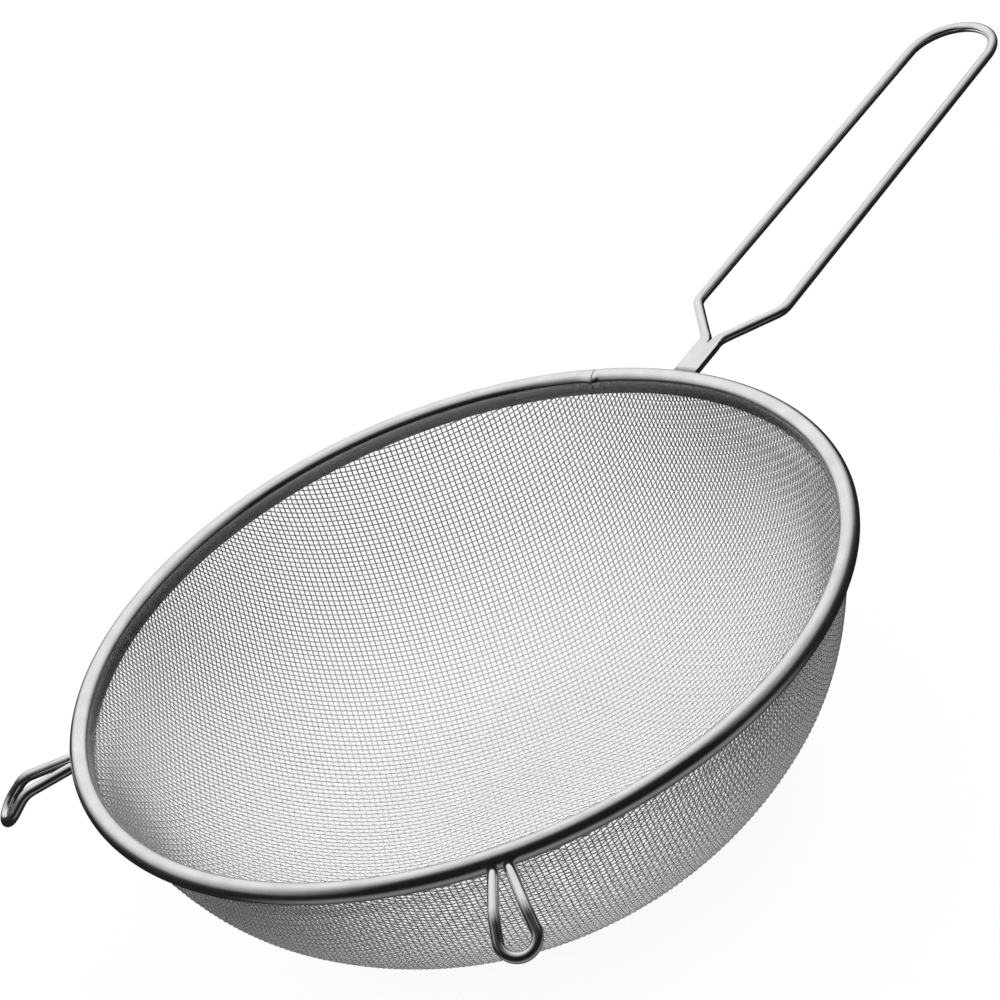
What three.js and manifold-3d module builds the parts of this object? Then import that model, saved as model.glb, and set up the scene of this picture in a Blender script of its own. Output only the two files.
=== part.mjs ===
// A round kitchen strainer of bright steel. A drawn bowl of wire mesh is clamped in a rolled rim. A long wire
// loop is the handle, and two small wire loops opposite it rest on the edge of a pot.
// Millimetres, +Z up, +X towards the handle. The origin is the middle of the bowl's flat underside.
import * as THREE from "three";
import { mergeVertices } from "three/addons/utils/BufferGeometryUtils.js";
import Module from "manifold-3d";

// Rim: a strip of sheet, rolled round a core wire, with a skirt inside the bowl
const rimDiameter = 220;
const beadDiameter = 5.2;
const stripThickness = 0.6;
const skirtDepth = 3.4; // below the bead's centre
const coreWireDiameter = 3.2;
const seamAngle = 14.6; // degrees round from the handle
const seamWidth = 0.4;

// Bowl: mesh drawn over a former with a flat floor
const bowlDepth = 76; // from the bead's centre to the underside
const floorDiameter = 60;
const collarDepth = 6; // straight wall below the bead's centre
const wallCurve = 1.5; // exponents of the wall's rounding: 2 is an ellipse, less is closer to a cone
const floorCurve = 1.75;
const meshSpacing = 16; // along the cloth: far fewer and stouter wires than the woven cloth has
const meshWireWidth = 1.1;
const meshWireThickness = 0.8;
const meshAngle = 45; // degrees from the weave to the handle
const rimStep = 8; // longest straight step of a mesh wire near the rim

// Handle: one wire, from the rim out, round the far end and back
const handleWireDiameter = 3;
const handleReach = 277; // from the bowl's axis to the wire's centre line at the far end
const handleEndRadius = 14;
const handleWidth = 30.8; // between the wires' centre lines where the grip begins
const handleRise = 3.85; // degrees up from level
const neckLength = 15; // from the rim to where the wires part
const spreadLength = 15.5; // from there to the grip
const neckWidth = 3.7; // each flattened end
const neckThickness = 1.8;
const neckSquareness = 6; // of the flattened section: 2 is round
const neckBlend = 4; // from flat to round
const bendRadius = 6;

// Rest loops: wire bent to a teardrop, then turned down
const loopWireDiameter = 3;
const leftLoopAngle = 135.3; // degrees round from the handle, one to each side
const rightLoopAngle = 136.7;
const loopFootSpacing = 4.2; // between the feet's centre lines
const loopEndRadius = 4.8;
const loopLevelLength = 14.2;
const loopTipLength = 11.4;
const loopFall = 10; // degrees down, before the bend
const loopTipFall = 41.6; // degrees down, after it
const loopBendRadius = 7;

// Clearance where pieces are clamped or welded
const fitGap = 0.3;

// Facets
const rimFacets = 90;
const coreFacets = 72;
const beadFacets = 9;
const wireFacets = 8;
const handleFacets = 12;
const bendFacets = 6;
const loopSteps = 30;
const mergeDistance = 1e-4;

const rimRadius = rimDiameter / 2;
const beadRadius = beadDiameter / 2;
const beadCentre = rimRadius - beadRadius;
const rimHeight = bowlDepth;
const coreRadius = coreWireDiameter / 2;
const meshRadius = rimRadius - beadDiameter + stripThickness + fitGap + meshWireThickness / 2;
const meshTop = rimHeight - coreRadius - fitGap;
const weldRadius = rimRadius + fitGap;

const wasm = await Module();
wasm.setup();

function radians(degrees) {
  return THREE.MathUtils.degToRad(degrees);
}

// A closed geometry as a solid that can be cut.
function solidFrom(geometry) {
  const bare = geometry.clone();
  bare.deleteAttribute("normal");
  bare.deleteAttribute("uv");
  const merged = mergeVertices(bare, mergeDistance);
  const vertProperties = new Float32Array(merged.getAttribute("position").array);
  const triVerts = new Uint32Array(merged.index.array);
  return new wasm.Manifold(new wasm.Mesh({ numProp: 3, vertProperties, triVerts }));
}

function geometryFrom(solid) {
  const mesh = solid.getMesh();
  const geometry = new THREE.BufferGeometry();
  geometry.setAttribute("position", new THREE.BufferAttribute(mesh.vertProperties, 3));
  geometry.setIndex(new THREE.BufferAttribute(mesh.triVerts, 1));
  return geometry;
}

function geometryOf(points, triangles) {
  const geometry = new THREE.BufferGeometry().setFromPoints(points);
  geometry.setIndex(triangles);
  return geometry;
}

// A closed outline of radii and heights, turned round the bowl's axis.
function turned(outline, facets) {
  const closed = [...outline, outline[0]];
  return new THREE.LatheGeometry(closed, facets).rotateX(Math.PI / 2);
}

function arcPoints(x, y, radius, startDegrees, endDegrees, steps) {
  const [start, end] = [radians(startDegrees), radians(endDegrees)];
  const arc = new THREE.EllipseCurve(x, y, radius, radius, start, end, end < start);
  return arc.getPoints(steps);
}

// The strip's section: up the skirt, over the bead, and round to the slot that holds the mesh.
function rimBand() {
  const slot = meshRadius + meshWireThickness / 2 + fitGap;
  const rollEnd = -THREE.MathUtils.radToDeg(Math.acos((slot - beadCentre) / beadRadius));
  const innerRadius = beadRadius - stripThickness;
  const skirtFoot = rimHeight - skirtDepth;
  const section = [
    new THREE.Vector2(beadCentre - beadRadius, skirtFoot),
    ...arcPoints(beadCentre, rimHeight, beadRadius, 180, rollEnd, beadFacets),
    ...arcPoints(beadCentre, rimHeight, innerRadius, rollEnd, 180, beadFacets - 2),
    new THREE.Vector2(beadCentre - innerRadius, skirtFoot),
  ];
  const ring = solidFrom(turned(section.reverse(), rimFacets));
  const height = 2 * (beadRadius + skirtDepth);
  const seam = new THREE.BoxGeometry(2 * beadDiameter, seamWidth, height)
    .translate(beadCentre, 0, rimHeight)
    .rotateZ(radians(seamAngle));
  return geometryFrom(ring.subtract(solidFrom(seam)));
}

function rimCoreWire() {
  const section = arcPoints(beadCentre, rimHeight, coreRadius, 0, 360, wireFacets).slice(0, -1);
  return turned(section, coreFacets);
}

// The bowl's half section through the middle of the mesh, from the axis out along the floor, up the wall and
// past the rim. The wall is a superellipse between floor and collar.
class BowlSection extends THREE.Curve {
  constructor() {
    super();
    this.arcLengthDivisions = 800;
    this.floorRadius = floorDiameter / 2;
    this.floorHeight = meshWireThickness / 2;
    this.collarHeight = rimHeight - collarDepth;
    this.topHeight = rimHeight + 3 * meshSpacing;
  }

  getPoint(t, target = new THREE.Vector2()) {
    const floorShare = 0.2;
    const wallShare = 0.6;
    if (t < floorShare) {
      return target.set((t / floorShare) * this.floorRadius, this.floorHeight);
    }
    if (t < floorShare + wallShare) {
      const turn = (((t - floorShare) / wallShare) * Math.PI) / 2;
      const across = Math.sin(turn) ** (2 / floorCurve);
      const down = Math.cos(turn) ** (2 / wallCurve);
      const width = meshRadius - this.floorRadius;
      const depth = this.collarHeight - this.floorHeight;
      return target.set(this.floorRadius + across * width, this.collarHeight - down * depth);
    }
    const up = (t - floorShare - wallShare) / (1 - floorShare - wallShare);
    return target.set(meshRadius, THREE.MathUtils.lerp(this.collarHeight, this.topHeight, up));
  }
}

// The mesh: a square net laid over the bowl from the middle of its floor, so that a distance along the cloth
// is a distance along the section. It is made past the rim and cut off level inside the bead.
function meshBowl() {
  const section = new BowlSection();
  const length = section.getLength();
  const reach = length - (section.topHeight - meshTop);
  const half = meshWireWidth / 2;
  const points = [];
  const triangles = [];
  const corners = new Map();

  // A place on the cloth has two points, on the outer face and then on the inner face.
  function corner(u, v) {
    const key = u.toFixed(3) + " " + v.toFixed(3);
    if (!corners.has(key)) {
      corners.set(key, points.length);
      const cloth = new THREE.Vector2(u, v);
      const middle = section.getPointAt(cloth.length() / length);
      const slope = section.getTangentAt(cloth.length() / length);
      const bearing = cloth.angle() + radians(meshAngle);
      for (const offset of [-meshWireThickness / 2, meshWireThickness / 2]) {
        const radius = middle.x - slope.y * offset;
        const height = middle.y + slope.x * offset;
        points.push(new THREE.Vector3(radius * Math.cos(bearing), radius * Math.sin(bearing), height));
      }
    }
    return corners.get(key);
  }
  function quad(a, b, c, d) {
    triangles.push(a, b, c, a, c, d);
  }
  function wall(from, to) {
    quad(from, to, to + 1, from + 1);
  }
  function faces(a, b, c, d) {
    quad(a, d, c, b);
    quad(a + 1, b + 1, c + 1, d + 1);
  }
  function isCrossing(column, row) {
    return Math.hypot(column, row) * meshSpacing < reach + 1.5 * meshSpacing;
  }

  // A stretch of wire to the next crossing, in shorter steps where it passes through the rim's slot.
  function stretch(column, row, stepU, stepV) {
    const nearRim = Math.hypot(column, row) * meshSpacing > reach - 2 * meshSpacing;
    const steps = nearRim ? Math.ceil((meshSpacing - meshWireWidth) / rimStep) : 1;
    const pairs = [];
    for (let k = 0; k <= steps; k += 1) {
      const ahead = THREE.MathUtils.lerp(half, meshSpacing - half, k / steps);
      const u = column * meshSpacing + stepU * ahead;
      const v = row * meshSpacing + stepV * ahead;
      const right = corner(u + stepV * half, v - stepU * half);
      const left = corner(u - stepV * half, v + stepU * half);
      pairs.push([right, left]);
    }
    for (let k = 0; k < steps; k += 1) {
      const [right, left] = pairs[k];
      const [nextRight, nextLeft] = pairs[k + 1];
      faces(right, nextRight, nextLeft, left);
      wall(right, nextRight);
      wall(nextLeft, left);
    }
  }

  const count = Math.ceil(reach / meshSpacing) + 2;
  for (let column = -count; column <= count; column += 1) {
    for (let row = -count; row <= count; row += 1) {
      if (!isCrossing(column, row)) {
        continue;
      }
      const [u, v] = [column * meshSpacing, row * meshSpacing];
      const around = [
        corner(u - half, v - half),
        corner(u + half, v - half),
        corner(u + half, v + half),
        corner(u - half, v + half),
      ];
      faces(...around);
      const steps = [
        [0, -1],
        [1, 0],
        [0, 1],
        [-1, 0],
      ];
      steps.forEach(([stepU, stepV], side) => {
        if (!isCrossing(column + stepU, row + stepV)) {
          wall(around[side], around[(side + 1) % 4]);
        } else if (stepU + stepV > 0) {
          stretch(column, row, stepU, stepV);
        }
      });
    }
  }
  const below = new THREE.CylinderGeometry(rimRadius, rimRadius, 2 * meshTop, rimFacets);
  below.rotateX(Math.PI / 2);
  const net = solidFrom(geometryOf(points, triangles));
  return geometryFrom(net.intersect(solidFrom(below)));
}

// Where a straight wire that starts at a point runs into a round end on the far axis.
function touchPoint(from, centre, radius) {
  const toCentre = centre.clone().sub(from);
  const direction = toCentre.angle() + Math.asin(radius / toCentre.length());
  const reach = Math.sqrt(toCentre.lengthSq() - radius * radius);
  const along = new THREE.Vector2(Math.cos(direction), Math.sin(direction));
  const touch = from.clone().addScaledVector(along, reach);
  return { touch, bearing: direction + Math.PI / 2 };
}

// A wire's flat outline, symmetrical about the first axis: corners on one side, a round end, and back.
// Corners between the first and the last are rounded.
function loopOutline(corners, endCentre, endRadius, cornerRadius) {
  const { touch, bearing } = touchPoint(corners.at(-1), endCentre, endRadius);
  const turns = [...corners, touch];
  const rounded = [];
  for (let i = 1; i < turns.length - 1; i += 1) {
    const back = turns[i - 1].clone().sub(turns[i]).normalize();
    const ahead = turns[i + 1].clone().sub(turns[i]).normalize();
    const setBack = cornerRadius / Math.tan(back.angleTo(ahead) / 2);
    const before = turns[i].clone().addScaledVector(back, setBack);
    const after = turns[i].clone().addScaledVector(ahead, setBack);
    rounded.push({ before, at: turns[i], after });
  }
  const outline = new THREE.Path().moveTo(corners[0].x, corners[0].y);
  for (const { before, at, after } of rounded) {
    outline.lineTo(before.x, before.y);
    outline.quadraticCurveTo(at.x, at.y, after.x, after.y);
  }
  outline.lineTo(touch.x, touch.y);
  outline.absarc(endCentre.x, endCentre.y, endRadius, bearing, -bearing, true);
  for (const { before, at, after } of rounded.reverse()) {
    outline.lineTo(after.x, -after.y);
    outline.quadraticCurveTo(at.x, -at.y, before.x, -before.y);
  }
  outline.lineTo(corners[0].x, -corners[0].y);
  return outline;
}

// The handle's wire: each ring of the tube is round along the grip and flattened at the neck.
function handleWire() {
  const neckSide = (neckWidth + fitGap) / 2;
  const start = new THREE.Vector2(weldRadius, neckSide);
  const parting = new THREE.Vector2(weldRadius + neckLength, neckSide);
  const grip = new THREE.Vector2(parting.x + spreadLength, handleWidth / 2);
  const endCentre = new THREE.Vector2(handleReach - handleEndRadius, 0);
  const outline = loopOutline([start, parting, grip], endCentre, handleEndRadius, bendRadius);
  const route = outline.getPoints(bendFacets);
  const flatEnd = route[1].x;

  const points = [];
  route.forEach((place, i) => {
    const before = route[Math.max(i - 1, 0)];
    const after = route[Math.min(i + 1, route.length - 1)];
    const back = place.clone().sub(before).normalize();
    const ahead = after.clone().sub(place).normalize();
    const along = back.add(ahead).normalize();
    const round = THREE.MathUtils.smoothstep(place.x, flatEnd, flatEnd + neckBlend);
    const width = THREE.MathUtils.lerp(neckWidth, handleWireDiameter, round) / 2;
    const thickness = THREE.MathUtils.lerp(neckThickness, handleWireDiameter, round) / 2;
    const power = 2 / THREE.MathUtils.lerp(neckSquareness, 2, round);
    for (let k = 0; k < handleFacets; k += 1) {
      const angle = ((k + 0.5) / handleFacets) * 2 * Math.PI;
      const side = Math.sign(Math.cos(angle)) * Math.abs(Math.cos(angle)) ** power * width;
      const up = Math.sign(Math.sin(angle)) * Math.abs(Math.sin(angle)) ** power * thickness;
      points.push(new THREE.Vector3(place.x - along.y * side, place.y + along.x * side, up));
    }
  });
  const geometry = tubeOf(points, handleFacets);
  geometry.translate(-weldRadius, 0, 0).rotateY(-radians(handleRise));
  return geometry.translate(weldRadius, 0, rimHeight);
}

// Rings of points joined into one closed tube.
function tubeOf(points, ringFacets) {
  const triangles = [];
  const last = points.length - ringFacets;
  for (let ring = 0; ring < last; ring += ringFacets) {
    for (let k = 0; k < ringFacets; k += 1) {
      const [a, b] = [ring + k, ring + ((k + 1) % ringFacets)];
      triangles.push(a, b, a + ringFacets, b, b + ringFacets, a + ringFacets);
    }
  }
  for (let k = 1; k < ringFacets - 1; k += 1) {
    triangles.push(0, k + 1, k);
    triangles.push(last, last + k, last + k + 1);
  }
  return geometryOf(points, triangles);
}

// A rest loop's wire: the flat teardrop, bent down where its profile turns.
class RestLoopPath extends THREE.Curve {
  constructor() {
    super();
    const length = loopLevelLength + loopTipLength;
    const foot = new THREE.Vector2(0, loopFootSpacing / 2);
    const endCentre = new THREE.Vector2(length - loopEndRadius, 0);
    this.outline = loopOutline([foot], endCentre, loopEndRadius, 0);
    const level = new THREE.Vector2(Math.cos(radians(loopFall)), -Math.sin(radians(loopFall)));
    const down = new THREE.Vector2(Math.cos(radians(loopTipFall)), -Math.sin(radians(loopTipFall)));
    const bend = level.clone().multiplyScalar(loopLevelLength);
    const setBack = loopBendRadius * Math.tan(radians(loopTipFall - loopFall) / 2);
    const before = bend.clone().addScaledVector(level, -setBack);
    const after = bend.clone().addScaledVector(down, setBack);
    const tip = bend.clone().addScaledVector(down, loopTipLength);
    this.profile = new THREE.Path().moveTo(0, 0);
    this.profile.lineTo(before.x, before.y);
    this.profile.quadraticCurveTo(bend.x, bend.y, after.x, after.y);
    this.profile.lineTo(tip.x, tip.y);
    this.length = length;
  }

  getPoint(t, target = new THREE.Vector3()) {
    const flat = this.outline.getPointAt(t);
    const bent = this.profile.getPointAt(Math.min(flat.x / this.length, 1));
    return target.set(weldRadius + bent.x, flat.y, rimHeight + bent.y);
  }
}

function restLoop() {
  const wire = new THREE.Shape().absarc(0, 0, loopWireDiameter / 2, 0, 2 * Math.PI);
  const extrudePath = new RestLoopPath();
  const curveSegments = wireFacets / 2;
  return new THREE.ExtrudeGeometry(wire, { steps: loopSteps, curveSegments, extrudePath });
}

const strainer = new THREE.Group();

function place(name, geometry, finish, turn = 0) {
  const mesh = new THREE.Mesh(geometry, new THREE.MeshStandardMaterial(finish));
  mesh.name = name;
  mesh.rotation.z = radians(turn);
  strainer.add(mesh);
}

const polished = { color: 0xc9cacb, roughness: 0.18, metalness: 1 };
const drawnWire = { color: 0xb9babc, roughness: 0.28, metalness: 1 };
const wovenWire = { color: 0xa6a8aa, roughness: 0.38, metalness: 1 };

place("rim_band", rimBand(), polished);
place("rim_core_wire", rimCoreWire(), drawnWire);
place("mesh_bowl", meshBowl(), wovenWire);
place("handle_wire", handleWire(), polished);
place("rest_loop_left", restLoop(), polished, leftLoopAngle);
place("rest_loop_right", restLoop(), polished, -rightLoopAngle);

export default strainer;
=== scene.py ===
"""A steel kitchen strainer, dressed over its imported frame: woven bowl, rolled rim, handle and rests.

Metres, +Z up, +X towards the handle. The origin is the middle of the bowl's flat underside.
"""
import math

import bpy
import numpy as np
from mathutils import Matrix, Vector


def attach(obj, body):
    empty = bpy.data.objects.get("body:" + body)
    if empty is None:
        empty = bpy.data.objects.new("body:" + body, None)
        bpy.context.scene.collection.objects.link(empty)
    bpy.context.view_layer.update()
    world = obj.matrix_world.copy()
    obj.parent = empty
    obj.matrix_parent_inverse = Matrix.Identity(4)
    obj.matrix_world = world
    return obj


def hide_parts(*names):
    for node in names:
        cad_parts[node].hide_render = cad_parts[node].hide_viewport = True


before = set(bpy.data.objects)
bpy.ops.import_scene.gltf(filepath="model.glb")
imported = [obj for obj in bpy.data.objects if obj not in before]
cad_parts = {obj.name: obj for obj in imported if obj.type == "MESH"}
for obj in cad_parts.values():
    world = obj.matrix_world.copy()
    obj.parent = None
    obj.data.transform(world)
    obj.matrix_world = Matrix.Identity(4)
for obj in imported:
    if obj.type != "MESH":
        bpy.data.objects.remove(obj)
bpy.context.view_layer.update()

MM = 0.001
SMOOTH_ANGLE = 40

# Rim: a strip rolled to a bead, with a skirt inside the bowl that gets painted shade, darker than the
# bead
RIM_HEIGHT = 76 * MM
BEAD_CENTRE = 107.2 * MM
BEAD_RADIUS = 2.8 * MM
STRIP_THICKNESS = 0.6 * MM
STRIP_EDGE_ROUND = 0.12 * MM
SKIRT_DEPTH = 3.4 * MM
# Painted shade: the dark tone for the rim's skirt and the handle's neck end, then its reach down the
# skirt and in from the bead
PAINTED_SHADE_TONE = 0.18
SKIRT_SHADE_TOP = 1.2 * MM
SKIRT_SHADE_FULL = -0.6 * MM
SKIRT_SHADE_INSIDE = (0.8 * BEAD_RADIUS, 0.9 * BEAD_RADIUS)
ROLL_START, ROLL_END = 180, -103
SEAM_ANGLE = 14.6
SEAM_WIDTH = 0.25 * MM
SEAM_BULGES = (0.15 * MM, 0.8 * MM)
SEAM_SPREAD = 5 * MM
RIM_STEPS = 480
ROLL_STEPS = 30

# Bowl: the section through the middle of the cloth
FLOOR_RADIUS = 30 * MM
FLOOR_HEIGHT = 0.4 * MM
WALL_RADIUS = 106.1 * MM
COLLAR_HEIGHT = 70 * MM
COLLAR_SPAN = (1.001, 2)
WALL_CURVE = 1.5
FLOOR_CURVE = 1.75
DRAW_IN = 2 * MM
DRAW_LOW = (35 * MM, 62 * MM)
DRAW_HIGH = (64 * MM, 73.5 * MM)
WALL_STEPS = 3000
COLLAR_STEPS = 800
SLOPE_STEP = 0.2 * MM

# Cloth
CLOTH_TOP = 74 * MM
CLOTH_PITCHES = (1.43 * MM, 1.59 * MM)
CLOTH_WIRE_RADIUS = 0.2 * MM
CLOTH_ANGLE = 45
CLOTH_SIDES = 5
CLOTH_MARGIN = 4
CLOTH_TONES = (0.88, 0.97)
CLOTH_TONE_SEED = 5
CLOTH_CLOUD_SCALE = 40
# Painted shade by depth, set through the metallic share: it rises between these heights, so the upper
# wall renders darker than the floor
CLOTH_SHADE_HEIGHTS = (0.1 * RIM_HEIGHT, 0.85 * RIM_HEIGHT)
CLOTH_FLOOR_METAL, CLOTH_ADDED_METAL = 0.43, 0.52
CLOTH_ROUGHNESS, CLOTH_CLOUD_ROUGHNESS = 0.22, 0.12
SOLVER_STEPS = 8
SOLVER_NUDGE = 1e-7
SOLVER_LEAST_SCALE = 1e-15
SOLVER_MOST_TURN = 0.3

# Wires of the handle and the rests: points along their bends, and the roundness of their sections
CORNER_STEPS = 10
END_STEPS = 24
WIRE_ROUNDNESS = 10

# Handle: one wire with its two ends pressed flat side by side
HANDLE_RADIUS = 1.5 * MM
HANDLE_STEP = 1 * MM
HANDLE_START = 108.6 * MM
NECK_SIDE = 1.92 * MM
NECK_RADIUS = 1.9 * MM
NECK_HALF_THICKNESS = 0.9 * MM
NECK_SQUARED = 0.25 * NECK_RADIUS
NECK_EDGE_ROUND = 0.15 * MM
NECK_EDGE_REACH = 0.01 * MM
NECK_BLEND = 5 * MM
NECK_BLEND_STEPS = 12
PARTING = 125.3 * MM
NECK_END = PARTING - 2 * MM
GRIP_START = 140.8 * MM
GRIP_SIDE = 15.4 * MM
HANDLE_END = 263 * MM
HANDLE_END_RADIUS = 14 * MM
HANDLE_BEND = 6 * MM
HANDLE_RISE = 3.85
HANDLE_PIVOT = 110.3 * MM
# Painted shade on the neck's end where it meets the bead: full up to the first place, gone by the
# second
NECK_SHADE_SPAN = (111 * MM, 112 * MM)

# Rests: wire bent to a teardrop, then turned down at its tip. Its two feet have rounded ends
REST_RADIUS = 1.5 * MM
REST_STEP = 0.5 * MM
REST_ANGLES = (135.3, -136.7)
REST_FOOT = 108.9 * MM
REST_DROP = 1.3 * MM
REST_WELD = 110.3 * MM
REST_FOOT_SIDE = 2.1 * MM
REST_FOOT_SHARES = (1, 0.97, 0.85, 0.6)
REST_FOOT_LEAST = 0.05
REST_END = 20.8 * MM
REST_END_RADIUS = 4.8 * MM
REST_LEVEL = 14.2 * MM
REST_TIP = 11.4 * MM
REST_FALL, REST_TIP_FALL = 6.5, 41.6
REST_BEND = 7 * MM
REST_BEND_STEPS = 12

# Steel: tone and roughness, stretch and scale of the drawn lines, and what each noise adds
POLISHED = (0.78, 0.12)
UNPOLISHED = (0.6, 0.35)
SHEET_LINES = ((1, 1, 8), 900)
WIRE_LINES = ((0.05, 1, 1), 1500)
EVEN = (1, 1, 1)
CLOUD_SCALE, MARK_SCALE, WAVE_SCALE = 150, 1300, 70
LINE_DETAIL, MARK_DETAIL = 2, 4
CLOUD_SHARE, MARK_SHARE = 0.75, 0.25
DARKEST, BRIGHTEST = 0.76, 1.2
CLOUD_ROUGHNESS, LINE_ROUGHNESS, MARK_ROUGHNESS = 0.1, 0.06, 0.06
LINE_HEIGHT = 0.02 * MM
WAVES_TO_LINES = 110
BUMP_STRENGTH = 0.06

# Camera, as the photograph was taken
VIEW_AZIMUTH = -129.257
VIEW_ELEVATION = 32.455
VIEW_DISTANCE = 972.1 * MM
VIEW_ROLL = -23.19
VIEW_NEAREST = 10 * MM
PHOTO_SIDE = 1000
FOCAL_PIXELS = 3678.5
RIM_MIDDLE_PIXEL = (457.5, 616.3)
SENSOR_WIDTH = 36

# Studio floor: whiter away from the bowl, with a soft shade under it
STAGE_RADIUS = 4
STAGE_SIDES = 96
STAGE_DROP = 1 * MM
STAGE_TONE = 0.9
STAGE_SHADE = (40 * MM, 90 * MM)
STAGE_WHITENESS = (0.8, 0.96)

# Studio light
ROOM_LIGHT = 0.13
SUN_STRENGTH = 3.3
SUN_TURN = 145
SUN_HEIGHT = 74
SUN_SPREAD = 60

# Studio tent: its brightness by height in degrees, at four bearings from the front, and on the floor
# before the object by distance from its middle
TENT_RADIUS = 0.75
TENT_STEPS = 64
TENT_WALL = {
    46: ((0, 38, 47, 54, 61, 68, 76, 90), (0.012, 0.014, 0.022, 0.05, 0.14, 0.3, 0.5, 0.64)),
    115: ((0, 15, 22, 29, 35, 42, 55, 90), (0.03, 0.05, 0.14, 0.42, 0.58, 0.68, 0.78, 0.64)),
    148: (
        (0, 5, 9, 13, 18, 24, 31, 60, 90),
        (0.03, 0.05, 0.18, 0.6, 0.78, 0.9, 0.98, 0.98, 0.64),
    ),
    170: ((0, 13, 18, 24, 31, 60, 90), (0.8, 0.8, 0.85, 0.92, 0.98, 0.98, 0.64)),
}
TENT_FLOOR = (
    (0.05, 0.11, 0.135, 0.16, 0.195, 0.25, 0.375, 0.6),
    (0.03, 0.083, 0.153, 0.24, 0.24, 0.124, 0.037, 0.018),
)
TENT_FRONT = (45, 75)
TENT_BACK = (145, 172)
TENT_BACK_FLOOR = 0.85
TENT_BACK_REACH = (0.12, 0.2)


def deselect():
    bpy.ops.object.select_all(action="DESELECT")


def named(name):
    piece = bpy.context.object
    piece.name = name
    piece.data.name = name
    return piece


def pick(piece, test):
    """Leaves the piece in edit mode with the vertices selected whose place passes the test."""
    bpy.ops.object.mode_set(mode="EDIT")
    bpy.ops.mesh.select_mode(type="VERT")
    bpy.ops.mesh.select_all(action="DESELECT")
    bpy.ops.object.mode_set(mode="OBJECT")
    for vertex in piece.data.vertices:
        vertex.select = test(vertex.co)
    bpy.ops.object.mode_set(mode="EDIT")


def modified(piece, kind, **settings):
    modifier = piece.modifiers.new(kind.title(), kind)
    for name, value in settings.items():
        setattr(modifier, name, value)
    bpy.ops.object.modifier_apply(modifier=modifier.name)


def smoothed():
    bpy.ops.object.shade_smooth_by_angle(angle=math.radians(SMOOTH_ANGLE))


def marked(mesh, name, values):
    """Gives each vertex a value that a finish reads by name."""
    mesh.attributes.new(name, "FLOAT", "POINT").data.foreach_set("value", values)


def finished(piece, node, finish):
    piece.data.materials.clear()
    piece.data.materials.append(finish)
    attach(piece, "root")
    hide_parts(node)


def smoothstep(low, high, value):
    share = np.clip((value - low) / (high - low), 0, 1)
    return share * share * (3 - 2 * share)


def rounded_corner(first, corner, last, share):
    """A place along a bend that leaves one straight at first and joins the other at last."""
    return first.lerp(corner, share).lerp(corner.lerp(last, share), share)


# Camera


def photo_camera():
    azimuth, elevation = math.radians(VIEW_AZIMUTH), math.radians(VIEW_ELEVATION)
    level = math.cos(elevation)
    away = Vector((level * math.cos(azimuth), level * math.sin(azimuth), math.sin(elevation)))
    right, low = ((p - PHOTO_SIDE / 2) / FOCAL_PIXELS for p in RIM_MIDDLE_PIXEL)
    aside = Vector((right, -low, -1)).rotation_difference(Vector((0, 0, -1)))
    look = (-away).to_track_quat("-Z", "Y").to_matrix()
    turn = look @ Matrix.Rotation(math.radians(VIEW_ROLL), 3, "Z") @ aside.to_matrix()
    bpy.ops.object.camera_add()
    camera = bpy.context.object
    camera.matrix_world = turn.to_4x4()
    camera.location = Vector((0, 0, RIM_HEIGHT)) + VIEW_DISTANCE * away
    camera.data.sensor_width = SENSOR_WIDTH
    camera.data.lens = FOCAL_PIXELS / PHOTO_SIDE * SENSOR_WIDTH
    camera.data.clip_start = VIEW_NEAREST
    bpy.context.scene.camera = camera


# Finishes


class Socket:
    """An output of a node. Arithmetic on it adds Math nodes."""

    def __init__(self, board, source):
        self.board = board
        self.source = source

    def other(self, output):
        return Socket(self.board, self.source.node.outputs[output])

    def math(self, operation, *values):
        return self.board.node("ShaderNodeMath", {"operation": operation}, dict(enumerate(values)))

    def __add__(self, value):
        return self.math("ADD", self, value)

    def __sub__(self, value):
        return self.math("SUBTRACT", self, value)

    def __mul__(self, value):
        return self.math("MULTIPLY", self, value)

    __radd__ = __add__
    __rmul__ = __mul__


class Board:
    """The nodes of one material, or of the world."""

    def __init__(self, tree):
        self.tree = tree
        tree.nodes.clear()

    def node(self, kind, settings, inputs, output=0):
        node = self.tree.nodes.new(kind)
        for name, value in settings.items():
            setattr(node, name, value)
        for name, value in inputs.items():
            if isinstance(value, Socket):
                self.tree.links.new(value.source, node.inputs[name])
            else:
                node.inputs[name].default_value = value
        return Socket(self, node.outputs[output]) if node.outputs else None

    def place(self):
        return self.node("ShaderNodeTexCoord", {}, {}, "Object")

    def mark(self, name, output="Fac"):
        return self.node("ShaderNodeAttribute", {"attribute_name": name}, {}, output)

    def noise(self, place, stretch, scale, detail=3):
        stretched = self.node("ShaderNodeMapping", {}, {"Vector": place, "Scale": stretch})
        inputs = {"Vector": stretched, "Scale": scale, "Detail": detail}
        return self.node("ShaderNodeTexNoise", {}, inputs)

    def mix(self, factor, first, second):
        inputs = {"Factor": factor, "A": first, "B": second}
        return self.node("ShaderNodeMix", {"data_type": "RGBA"}, inputs, "Result")

    def ramp(self, value, span, ends=(0, 1)):
        """Rises smoothly from one end to the other while the value crosses the span."""
        inputs = {"Value": value, "From Min": span[0], "From Max": span[1]}
        inputs.update({"To Min": ends[0], "To Max": ends[1]})
        return self.node("ShaderNodeMapRange", {"interpolation_type": "SMOOTHSTEP"}, inputs)

    def surface(self, shader):
        self.node("ShaderNodeOutputMaterial", {}, {"Surface": shader})


def grey(level):
    return (level, level, level, 1)


def new_board(name):
    material = bpy.data.materials.new(name)
    material.use_nodes = True
    return material, Board(material.node_tree)


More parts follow.
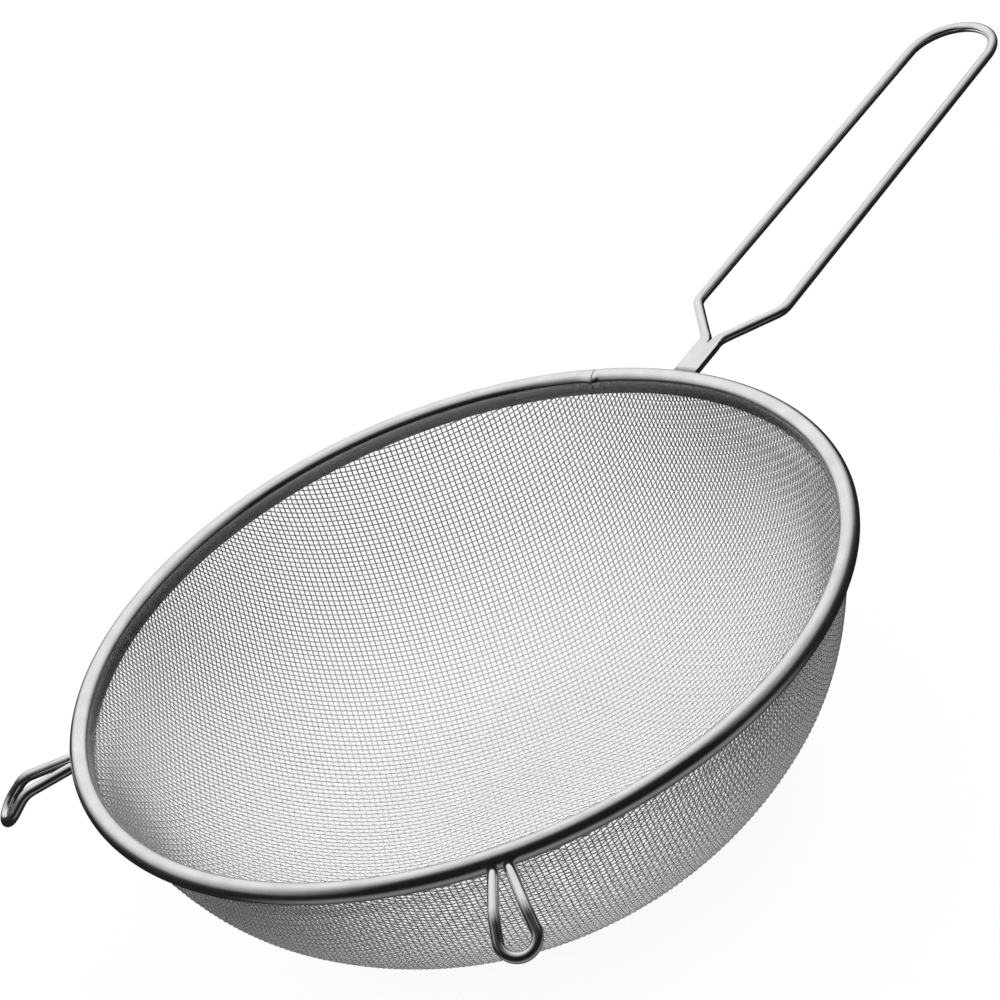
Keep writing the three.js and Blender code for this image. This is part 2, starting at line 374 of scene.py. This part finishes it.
def steel(name, polish, drawn_lines):
    """Bright steel with fine drawn lines, slight waves, cloudy patches of duller polish and marks."""
    tone, roughness = polish
    stretch, line_scale = drawn_lines
    material, board = new_board(name)
    place = board.place()
    clouds = board.noise(place, EVEN, CLOUD_SCALE)
    lines = board.noise(place, stretch, line_scale, LINE_DETAIL)
    marks = board.noise(place, EVEN, MARK_SCALE, MARK_DETAIL)
    waves = board.noise(place, EVEN, WAVE_SCALE)
    patches = CLOUD_SHARE * clouds + MARK_SHARE * marks
    shade = board.mix(patches, grey(tone * DARKEST), grey(tone * BRIGHTEST))
    # Painted shade, where a piece marks it: the rim's skirt and the handle's neck end
    shade = board.mix(board.mark("painted_shade"), shade, grey(PAINTED_SHADE_TONE))
    rough = roughness + CLOUD_ROUGHNESS * (clouds - 0.5)
    rough = rough + LINE_ROUGHNESS * (lines - 0.5) + MARK_ROUGHNESS * (marks - 0.5)
    height = lines + WAVES_TO_LINES * waves
    inputs = {"Strength": BUMP_STRENGTH, "Distance": LINE_HEIGHT, "Height": height}
    bump = board.node("ShaderNodeBump", {}, inputs)
    inputs = {"Base Color": shade, "Metallic": 1.0, "Roughness": rough, "Normal": bump}
    board.surface(board.node("ShaderNodeBsdfPrincipled", {}, inputs))
    return material


# Rim


def rim_section():
    """Radii and heights along the strip's outer face: up the skirt and round the bead."""
    section = [(BEAD_CENTRE - BEAD_RADIUS, RIM_HEIGHT - SKIRT_DEPTH)]
    section.append((BEAD_CENTRE - BEAD_RADIUS, RIM_HEIGHT - SKIRT_DEPTH / 2))
    for step in range(ROLL_STEPS + 1):
        turn = math.radians(ROLL_START + (ROLL_END - ROLL_START) * step / ROLL_STEPS)
        radius = BEAD_CENTRE + BEAD_RADIUS * math.cos(turn)
        section.append((radius, RIM_HEIGHT + BEAD_RADIUS * math.sin(turn)))
    return section


def rolled_rim(finish):
    gap = SEAM_WIDTH / BEAD_CENTRE
    start = math.radians(SEAM_ANGLE) + gap / 2
    ring = [Vector((r * math.cos(start), r * math.sin(start), z)) for r, z in rim_section()]
    deselect()
    bpy.ops.mesh.primitive_plane_add(size=BEAD_RADIUS, location=ring[0])
    rim = named("rolled_rim")
    bpy.ops.object.transform_apply()
    bpy.ops.object.mode_set(mode="EDIT")
    bpy.ops.mesh.merge(type="CENTER")
    for here, there in zip(ring, ring[1:]):
        bpy.ops.mesh.extrude_region_move(TRANSFORM_OT_translate={"value": there - here})
    bpy.ops.mesh.select_all(action="SELECT")
    bpy.ops.mesh.spin(
        steps=RIM_STEPS, angle=2 * math.pi - gap, center=(0, 0, 0), axis=(0, 0, 1)
    )
    bpy.ops.object.mode_set(mode="OBJECT")
    seam_bulge(rim)
    face_out(rim)
    modified(rim, "SOLIDIFY", thickness=STRIP_THICKNESS, offset=-1)
    modified(rim, "BEVEL", width=STRIP_EDGE_ROUND, segments=2, limit_method="ANGLE")
    smoothed()
    skirt_shade(rim)
    finished(rim, "rim_band", finish)


def skirt_shade(rim):
    """Marks the skirt for painted shade, which makes it darker than the bead."""
    painted_shade = []
    for vertex in rim.data.vertices:
        inner = smoothstep(*SKIRT_SHADE_INSIDE, BEAD_CENTRE - vertex.co.xy.length)
        painted_shade.append(inner * smoothstep(SKIRT_SHADE_TOP, SKIRT_SHADE_FULL, vertex.co.z - RIM_HEIGHT))
    marked(rim.data, "painted_shade", painted_shade)


def seam_bulge(rim):
    """The strip's two ends stand in where they meet, one more than the other."""
    for vertex in rim.data.vertices:
        level = Vector((vertex.co.x, vertex.co.y, 0))
        aside = (math.atan2(level.y, level.x) - math.radians(SEAM_ANGLE)) * BEAD_CENTRE
        near = 1 - smoothstep(0, SEAM_SPREAD, abs(aside))
        inner = smoothstep(BEAD_CENTRE + BEAD_RADIUS, BEAD_CENTRE - BEAD_RADIUS, level.length)
        low = smoothstep(RIM_HEIGHT - SKIRT_DEPTH, RIM_HEIGHT - BEAD_RADIUS / 2, vertex.co.z)
        vertex.co -= level.normalized() * SEAM_BULGES[aside > 0] * near * inner * low


def face_out(rim):
    """Turns the rolled sheet so that its faces point away from the bead's middle."""
    face = max(rim.data.polygons, key=lambda polygon: polygon.center.z)
    if face.normal.z < 0:
        bpy.ops.object.mode_set(mode="EDIT")
        bpy.ops.mesh.select_all(action="SELECT")
        bpy.ops.mesh.flip_normals()
        bpy.ops.object.mode_set(mode="OBJECT")


# Wires of the handle and the rests


def touch_point(start, centre, radius):
    """Where a straight wire from a point runs into a round end, and the bearing of that point."""
    across = centre - start
    direction = math.atan2(across.y, across.x) + math.asin(radius / across.length)
    reach = math.sqrt(across.length_squared - radius * radius)
    touch = start + reach * Vector((math.cos(direction), math.sin(direction)))
    return touch, direction + math.pi / 2


def spaced(start, end, step):
    count = max(1, math.ceil((end - start).length / step))
    return [start.lerp(end, k / count) for k in range(count)]


def loop_route(corners, centre, radius, bend, step):
    """A flat loop, symmetrical about the first axis: corners on one side, a round end, and back."""
    touch, bearing = touch_point(corners[-1], centre, radius)
    turns = [*corners, touch]
    route = []
    here = corners[0]
    for before, corner, after in zip(turns, turns[1:], turns[2:]):
        back, ahead = (before - corner).normalized(), (after - corner).normalized()
        set_back = bend / math.tan(back.angle(ahead) / 2)
        first, last = corner + set_back * back, corner + set_back * ahead
        route += spaced(here, first, step)
        for k in range(CORNER_STEPS):
            route.append(rounded_corner(first, corner, last, k / CORNER_STEPS))
        here = last
    route += spaced(here, touch, step)
    for k in range(END_STEPS + 1):
        turn = bearing * (1 - k / END_STEPS)
        route.append(centre + radius * Vector((math.cos(turn), math.sin(turn))))
    return route + [Vector((p.x, -p.y)) for p in reversed(route[:-1])]


def wire_along(name, route, radius, swell):
    """A round wire along a route, thicker where swell, a list of factors, says so."""
    deselect()
    bpy.ops.curve.primitive_bezier_curve_add()
    wire = named(name)
    curve = wire.data
    curve.splines.clear()
    spline = curve.splines.new("POLY")
    spline.points.add(len(route) - 1)
    for point, place, factor in zip(spline.points, route, swell):
        point.co = (*place, 1)
        point.radius = factor
    curve.dimensions = "3D"
    curve.bevel_depth = radius
    curve.bevel_resolution = WIRE_ROUNDNESS
    curve.use_fill_caps = True
    bpy.ops.object.convert(target="MESH")
    bpy.ops.object.transform_apply()
    smoothed()
    return wire


def press(wire, low, high, height):
    """Presses the wire flat, above and below, between two places along it."""
    for sign in (1, -1):
        pick(wire, lambda co: low <= co.x < high and co.z * sign > height)
        bpy.ops.transform.resize(value=(1, 1, 0), center_override=(0, 0, sign * height))
        bpy.ops.object.mode_set(mode="OBJECT")


def square_neck(wire):
    """Presses the two flat ends against each other, and their outer edges square.

    They then look like one plate.
    """
    sides = (NECK_SIDE - NECK_RADIUS, NECK_SIDE + NECK_RADIUS)
    for side in (*sides, -sides[0], -sides[1]):
        pick(wire, lambda co: co.x < NECK_END and abs(co.y - side) < NECK_SQUARED)
        bpy.ops.transform.resize(value=(1, 0, 1), center_override=(0, side, 0))
        bpy.ops.object.mode_set(mode="OBJECT")
    side, top = sides[1] - NECK_EDGE_REACH, NECK_HALF_THICKNESS - NECK_EDGE_REACH
    pick(wire, lambda co: co.x < NECK_END and abs(co.y) > side and abs(co.z) > top)
    bpy.ops.mesh.bevel(offset=NECK_EDGE_ROUND, segments=2, affect="EDGES")
    bpy.ops.object.mode_set(mode="OBJECT")


def neck_shade(wire):
    """Marks the neck's end for painted shade, dark where it meets the bead."""
    painted_shade = [1 - smoothstep(*NECK_SHADE_SPAN, vertex.co.x) for vertex in wire.data.vertices]
    marked(wire.data, "painted_shade", painted_shade)


def handle_loop(finish):
    corners = [(HANDLE_START, NECK_SIDE), (PARTING, NECK_SIDE), (GRIP_START, GRIP_SIDE)]
    corners = [Vector(corner) for corner in corners]
    centre = Vector((HANDLE_END, 0))
    route = loop_route(corners, centre, HANDLE_END_RADIUS, HANDLE_BEND, HANDLE_STEP)
    thick = NECK_RADIUS / HANDLE_RADIUS
    swell = [thick + (1 - thick) * smoothstep(NECK_END, NECK_END + NECK_BLEND, p.x) for p in route]
    wire = wire_along("handle_loop", [(p.x, p.y, 0) for p in route], HANDLE_RADIUS, swell)
    press(wire, 0, NECK_END, NECK_HALF_THICKNESS)
    for k in range(NECK_BLEND_STEPS):
        share = smoothstep(0, NECK_BLEND_STEPS, k + 0.5)
        height = NECK_HALF_THICKNESS + (HANDLE_RADIUS - NECK_HALF_THICKNESS) * share
        low = NECK_END + NECK_BLEND * k / NECK_BLEND_STEPS
        press(wire, low, low + NECK_BLEND / NECK_BLEND_STEPS, height)
    square_neck(wire)
    smoothed()
    neck_shade(wire)
    tilt = Matrix.Rotation(-math.radians(HANDLE_RISE), 4, "Y")
    pivot = Matrix.Translation((HANDLE_PIVOT, 0, 0))
    wire.data.transform(Matrix.Translation((0, 0, RIM_HEIGHT)) @ pivot @ tilt @ pivot.inverted())
    finished(wire, "handle_wire", finish)


def bent_profile():
    """Lengths, reaches and falls along a rest's side view."""
    falls = (math.radians(REST_FALL), math.radians(REST_TIP_FALL))
    level, down = (Vector((math.cos(fall), -math.sin(fall))) for fall in falls)
    bend = REST_LEVEL * level
    set_back = REST_BEND * math.tan((falls[1] - falls[0]) / 2)
    first, last = bend - set_back * level, bend + set_back * down
    places = [Vector((0, 0))]
    for k in range(REST_BEND_STEPS + 1):
        places.append(rounded_corner(first, bend, last, k / REST_BEND_STEPS))
    places.append(bend + REST_TIP * down)
    reaches, drops = np.array(places).T
    lengths = np.concatenate([[0], np.hypot(np.diff(reaches), np.diff(drops)).cumsum()])
    return lengths * (REST_LEVEL + REST_TIP) / lengths[-1], reaches, drops


def rest_loop(name, node, bearing, finish):
    """A rest's wire, whose two rounded feet are welded to the bead."""
    lengths, reaches, drops = bent_profile()
    corners, centre = [Vector((0, REST_FOOT_SIDE))], Vector((REST_END, 0))
    flat = loop_route(corners, centre, REST_END_RADIUS, 0, REST_STEP)
    route = [(np.interp(p.x, lengths, reaches), p.y, np.interp(p.x, lengths, drops)) for p in flat]
    end = REST_FOOT - REST_WELD
    foot = [(end * share * share, REST_FOOT_SIDE, 0) for share in REST_FOOT_SHARES]
    route = foot + route + [(x, -y, z) for x, y, z in reversed(foot)]
    swell = []
    for x, _, _ in route:
        share = min((x - end) / REST_RADIUS, 1)
        swell.append(max(math.sqrt(1 - (1 - share) ** 2), REST_FOOT_LEAST))
    turn = Matrix.Rotation(math.radians(bearing), 4, "Z")
    weld = Vector((REST_WELD, 0, RIM_HEIGHT - REST_DROP))
    wire = wire_along(name, [turn @ (weld + Vector(p)) for p in route], REST_RADIUS, swell)
    finished(wire, node, finish)


# Woven bowl


class BowlSection:
    """The bowl's half section by its length from the middle of the floor."""

    def __init__(self):
        turn = np.linspace(0, math.pi / 2, WALL_STEPS)
        width, depth = WALL_RADIUS - FLOOR_RADIUS, COLLAR_HEIGHT - FLOOR_HEIGHT
        radius = FLOOR_RADIUS + np.sin(turn) ** (2 / FLOOR_CURVE) * width
        height = COLLAR_HEIGHT - np.cos(turn) ** (2 / WALL_CURVE) * depth
        collar = np.linspace(*COLLAR_SPAN, COLLAR_STEPS) * COLLAR_HEIGHT
        self.height = np.concatenate([[FLOOR_HEIGHT], height, collar])
        below_top = 1 - smoothstep(*DRAW_HIGH, self.height)
        drawn = DRAW_IN * smoothstep(*DRAW_LOW, self.height) * below_top
        self.radius = np.concatenate([[0], radius, np.full_like(collar, WALL_RADIUS)]) - drawn
        steps = np.hypot(np.diff(self.radius), np.diff(self.height))
        self.length = np.concatenate([[0], steps.cumsum()])

    def place(self, length, bearing):
        radius = np.interp(length, self.length, self.radius)
        height = np.interp(length, self.length, self.height)
        return np.stack([radius * np.cos(bearing), radius * np.sin(bearing), height], -1)

    def inward(self, length, bearing):
        """The direction square to the cloth, into the bowl."""
        ends = [np.maximum(length - SLOPE_STEP, 0), length + SLOPE_STEP]
        run = np.diff([np.interp(e, self.length, self.radius) for e in ends], axis=0)[0]
        rise = np.diff([np.interp(e, self.length, self.height) for e in ends], axis=0)[0]
        out = np.stack([-rise * np.cos(bearing), -rise * np.sin(bearing), run], -1)
        return out / np.linalg.norm(out, axis=-1, keepdims=True)


def crossing(section, first, second, length, bearing):
    """Moves guessed crossings on the bowl until each lies one pitch from two earlier crossings."""
    column_pitch, row_pitch = CLOTH_PITCHES
    nudge = SOLVER_NUDGE
    for _ in range(SOLVER_STEPS):
        here = section.place(length, bearing)
        ends = section.place(length + nudge, bearing), section.place(length - nudge, bearing)
        along = (ends[0] - ends[1]) / (2 * nudge)
        ends = section.place(length, bearing + nudge), section.place(length, bearing - nudge)
        round_ = (ends[0] - ends[1]) / (2 * nudge)
        off_first = ((here - first) ** 2).sum(-1) - column_pitch**2
        off_second = ((here - second) ** 2).sum(-1) - row_pitch**2
        p, q = (2 * ((here - first) * way).sum(-1) for way in (along, round_))
        v, w = (2 * ((here - second) * way).sum(-1) for way in (along, round_))
        scale = p * w - q * v
        scale = np.where(np.abs(scale) < SOLVER_LEAST_SCALE, SOLVER_LEAST_SCALE, scale)
        longer = (off_first * w - off_second * q) / scale
        turned = (p * off_second - v * off_first) / scale
        length = length - np.clip(longer, -row_pitch, row_pitch)
        bearing = bearing - np.clip(turned, -SOLVER_MOST_TURN, SOLVER_MOST_TURN)
    return length, bearing


def net_quarter(section, columns, rows):
    """A quarter of the net of crossings, by length and bearing.

    Wire doesn't stretch, so each crossing lies one pitch from the crossing before it on either wire.
    """
    column_pitch, row_pitch = CLOTH_PITCHES
    length = np.zeros((columns, rows))
    bearing = np.zeros((columns, rows))
    length[:, 0] = np.arange(columns) * column_pitch
    length[0, :] = np.arange(rows) * row_pitch
    bearing[0, :] = math.pi / 2
    for k in range(2, columns + rows - 1):
        i = np.arange(max(1, k - rows + 1), min(columns, k))
        j = k - i
        first = section.place(length[i - 1, j], bearing[i - 1, j])
        second = section.place(length[i, j - 1], bearing[i, j - 1])
        corner = section.place(length[i - 1, j - 1], bearing[i - 1, j - 1])
        guess = first + second - corner
        turn = np.arctan2(guess[:, 1], guess[:, 0])
        out = length[i - 1, j] + length[i, j - 1] - length[i - 1, j - 1]
        if k == 2:
            out = np.full_like(out, np.hypot(column_pitch, row_pitch))
        length[i, j], bearing[i, j] = crossing(section, first, second, out, turn)
    return length, bearing


def net_whole(section):
    """Lengths and bearings of all crossings, by column and row, and the length to the rim."""
    reach = np.interp(CLOTH_TOP, section.height[1:], section.length[1:])
    columns, rows = (int(reach / pitch) + CLOTH_MARGIN for pitch in CLOTH_PITCHES)
    length, bearing = net_quarter(section, columns, rows)
    lengths = np.zeros((2 * columns - 1, 2 * rows - 1))
    bearings = np.zeros_like(lengths)
    i, j = np.indices((columns, rows))
    for left in (1, -1):
        for near in (1, -1):
            places = (columns - 1 + left * i, rows - 1 + near * j)
            lengths[places] = length
            bearings[places] = near * (bearing if left > 0 else math.pi - bearing)
    return lengths, bearings + math.radians(CLOTH_ANGLE), reach


def wire_centres(section, length, bearing, over, reach):
    """The centre line of one woven wire, cut off at the rim, and its directions into the bowl."""
    kept = np.flatnonzero(length < reach)
    if len(kept) < 2:
        return None
    part = slice(kept[0] - 1, kept[-1] + 2)
    length, bearing, over = length[part].copy(), np.unwrap(bearing[part]), over[part]
    for end, inner in ((0, 1), (-1, -2)):
        share = (reach - length[inner]) / (length[end] - length[inner])
        bearing[end] = bearing[inner] + share * (bearing[end] - bearing[inner])
        length[end] = reach
    inward = section.inward(length, bearing)
    return section.place(length, bearing) + inward * (over * CLOTH_WIRE_RADIUS)[:, None], inward


def tube_faces(rings, first):
    """Quads of a tube, from the number of its rings and of its first vertex."""
    k = np.arange(CLOTH_SIDES)
    step = np.arange(rings - 1)[:, None] * CLOTH_SIDES + first
    after = (k + 1) % CLOTH_SIDES
    quads = [step + k, step + after, step + after + CLOTH_SIDES, step + k + CLOTH_SIDES]
    return np.stack(quads, -1).reshape(-1, 4)


def cloth_piece(name, wires, finish):
    points, quads, ends, tones = [], [], [], []
    first = 0
    turn = np.arange(CLOTH_SIDES) / CLOTH_SIDES * 2 * math.pi
    for tone, (centres, inward) in wires:
        along = np.gradient(centres, axis=0)
        along /= np.linalg.norm(along, axis=1, keepdims=True)
        across = np.cross(along, inward)
        across /= np.linalg.norm(across, axis=1, keepdims=True)
        out = np.cross(across, along)
        ring = np.cos(turn)[:, None] * out[:, None] + np.sin(turn)[:, None] * across[:, None]
        points.append((centres[:, None] + CLOTH_WIRE_RADIUS * ring).reshape(-1, 3))
        quads.append(tube_faces(len(centres), first))
        last = first + (len(centres) - 1) * CLOTH_SIDES
        ends.append([first + k for k in reversed(range(CLOTH_SIDES))])
        ends.append([last + k for k in range(CLOTH_SIDES)])
        tones.append(np.full(len(centres) * CLOTH_SIDES, tone))
        first = last + CLOTH_SIDES
    mesh = bpy.data.meshes.new(name)
    faces = np.concatenate(quads).tolist() + ends
    mesh.from_pydata(np.concatenate(points).tolist(), [], faces)
    marked(mesh, "wire_tone", np.concatenate(tones))
    mesh.shade_smooth()
    piece = bpy.data.objects.new(name, mesh)
    bpy.context.scene.collection.objects.link(piece)
    finished(piece, "mesh_bowl", finish)


def woven_bowl(finish):
    section = BowlSection()
    lengths, bearings, reach = net_whole(section)
    i, j = np.indices(lengths.shape)
    over = np.where((i + j) % 2 == 0, 1.0, -1.0)
    draws = np.random.default_rng(CLOTH_TONE_SEED)
    families = {"warp": (lengths, bearings, over), "weft": (lengths.T, bearings.T, -over.T)}
    for family, rows in families.items():
        wires = [wire_centres(section, *row, reach) for row in zip(*rows)]
        toned = [(draws.random(), wire) for wire in wires if wire]
        half = len(toned) // 2
        cloth_piece("cloth_" + family + "_left", toned[:half], finish)
        cloth_piece("cloth_" + family + "_right", toned[half:], finish)


def woven_steel():
    """Bright wire, less metallic towards the bowl's floor so that the upper wall renders darker:
    painted shade by depth in the bowl. Each wire has a tone of its own.
    """
    material, board = new_board("woven_steel")
    place = board.place()
    tone = board.mark("wire_tone")
    clouds = board.noise(place, EVEN, CLOTH_CLOUD_SCALE)
    height = board.node("ShaderNodeSeparateXYZ", {}, {"Vector": place}, "Z")
    high = board.ramp(height, CLOTH_SHADE_HEIGHTS)
    inputs = {
        "Base Color": board.mix(0.5 * tone + 0.5 * clouds, *(grey(level) for level in CLOTH_TONES)),
        "Metallic": CLOTH_FLOOR_METAL + CLOTH_ADDED_METAL * high,
        "Roughness": CLOTH_ROUGHNESS + CLOTH_CLOUD_ROUGHNESS * clouds,
    }
    board.surface(board.node("ShaderNodeBsdfPrincipled", {}, inputs))
    return material


# Studio


def pale_floor():
    deselect()
    bpy.ops.mesh.primitive_circle_add(
        vertices=STAGE_SIDES, radius=STAGE_RADIUS, fill_type="NGON", location=(0, 0, -STAGE_DROP)
    )
    floor = named("floor")
    material, board = new_board("pale_floor")
    seen = seen_rays(board)
    place = board.place()
    away = board.node("ShaderNodeVectorMath", {"operation": "LENGTH"}, {0: place}, "Value")
    bright = board.ramp(away, STAGE_SHADE, STAGE_WHITENESS)
    matt = board.node("ShaderNodeBsdfDiffuse", {}, {"Color": grey(STAGE_TONE)})
    white = board.node("ShaderNodeEmission", {}, {"Color": grey(1), "Strength": 1})
    board.surface(board.node("ShaderNodeMixShader", {}, {0: bright * seen, 1: matt, 2: white}))
    floor.data.materials.append(material)


def seen_rays(board):
    """1 for what the camera sees, also in metal, and 0 for what lights the room."""
    seen = board.node("ShaderNodeLightPath", {}, {}, "Is Camera Ray")
    mirrored = seen.math("MAXIMUM", seen.other("Is Glossy Ray"), seen.other("Is Transmission Ray"))
    return seen.math("MAXIMUM", seen, mirrored)


def bright_room():
    world = bpy.data.worlds.new("bright_room")
    world.use_nodes = True
    board = Board(world.node_tree)
    strength = ROOM_LIGHT + (1 - ROOM_LIGHT) * seen_rays(board)
    light = board.node("ShaderNodeBackground", {}, {"Color": grey(1), "Strength": strength})
    board.node("ShaderNodeOutputWorld", {}, {"Surface": light})
    bpy.context.scene.world = world


def high_sun():
    """Soft light from above and behind, which bright metal doesn't mirror."""
    turn = (0, math.radians(90 - SUN_HEIGHT), math.radians(VIEW_AZIMUTH + SUN_TURN))
    bpy.ops.object.light_add(type="SUN", rotation=turn)
    sun = bpy.context.object
    sun.data.energy = SUN_STRENGTH
    sun.data.angle = math.radians(SUN_SPREAD)
    sun.visible_glossy = False


def tent_glow(x, y, z):
    """The tent's brightness at a place on its sphere. The lower half becomes its floor."""
    facing = math.radians(VIEW_AZIMUTH)
    bearing = abs(math.degrees(math.remainder(math.atan2(y, x) - facing, 2 * math.pi)))
    if z < 0:
        reach = math.hypot(x, y)
        before = 1 - smoothstep(*TENT_FRONT, bearing)
        behind = smoothstep(*TENT_BACK, bearing) * smoothstep(*TENT_BACK_REACH, reach)
        dark = TENT_FLOOR[1][-1] + behind * TENT_BACK_FLOOR
        return dark + before * (np.interp(reach, *TENT_FLOOR) - dark)
    height = math.degrees(math.asin(min(z / TENT_RADIUS, 1)))
    levels = [np.interp(height, *wall) for wall in TENT_WALL.values()]
    return np.interp(bearing, list(TENT_WALL), levels)


def studio_tent():
    """A tent that only shows as a reflection in bright metal.

    It is dark before the object and low down, and white behind it.
    """
    deselect()
    bpy.ops.mesh.primitive_uv_sphere_add(
        segments=TENT_STEPS, ring_count=TENT_STEPS, radius=TENT_RADIUS
    )
    tent = named("tent")
    marked(tent.data, "glow", [tent_glow(*vertex.co) for vertex in tent.data.vertices])
    for vertex in tent.data.vertices:
        vertex.co.z = max(vertex.co.z, -STAGE_DROP / 2)
    material, board = new_board("tent")
    inputs = {"Color": board.mark("glow", "Color"), "Strength": 1}
    board.surface(board.node("ShaderNodeEmission", {}, inputs))
    tent.data.materials.append(material)
    tent.visible_camera = False
    tent.visible_diffuse = False
    tent.visible_shadow = False
    tent.visible_transmission = False


photo_camera()
rim_finish = steel("rim_steel", POLISHED, SHEET_LINES)
wire_finish = steel("wire_steel", POLISHED, WIRE_LINES)
core_finish = steel("core_steel", UNPOLISHED, SHEET_LINES)
rolled_rim(rim_finish)
handle_loop(wire_finish)
rest_loop("rest_left", "rest_loop_left", REST_ANGLES[0], wire_finish)
rest_loop("rest_right", "rest_loop_right", REST_ANGLES[1], wire_finish)
woven_bowl(woven_steel())
for node_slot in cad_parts["rim_core_wire"].material_slots:
    node_slot.material = core_finish
pale_floor()
bright_room()
high_sun()
studio_tent()
bpy.context.scene.view_settings.view_transform = "Standard"
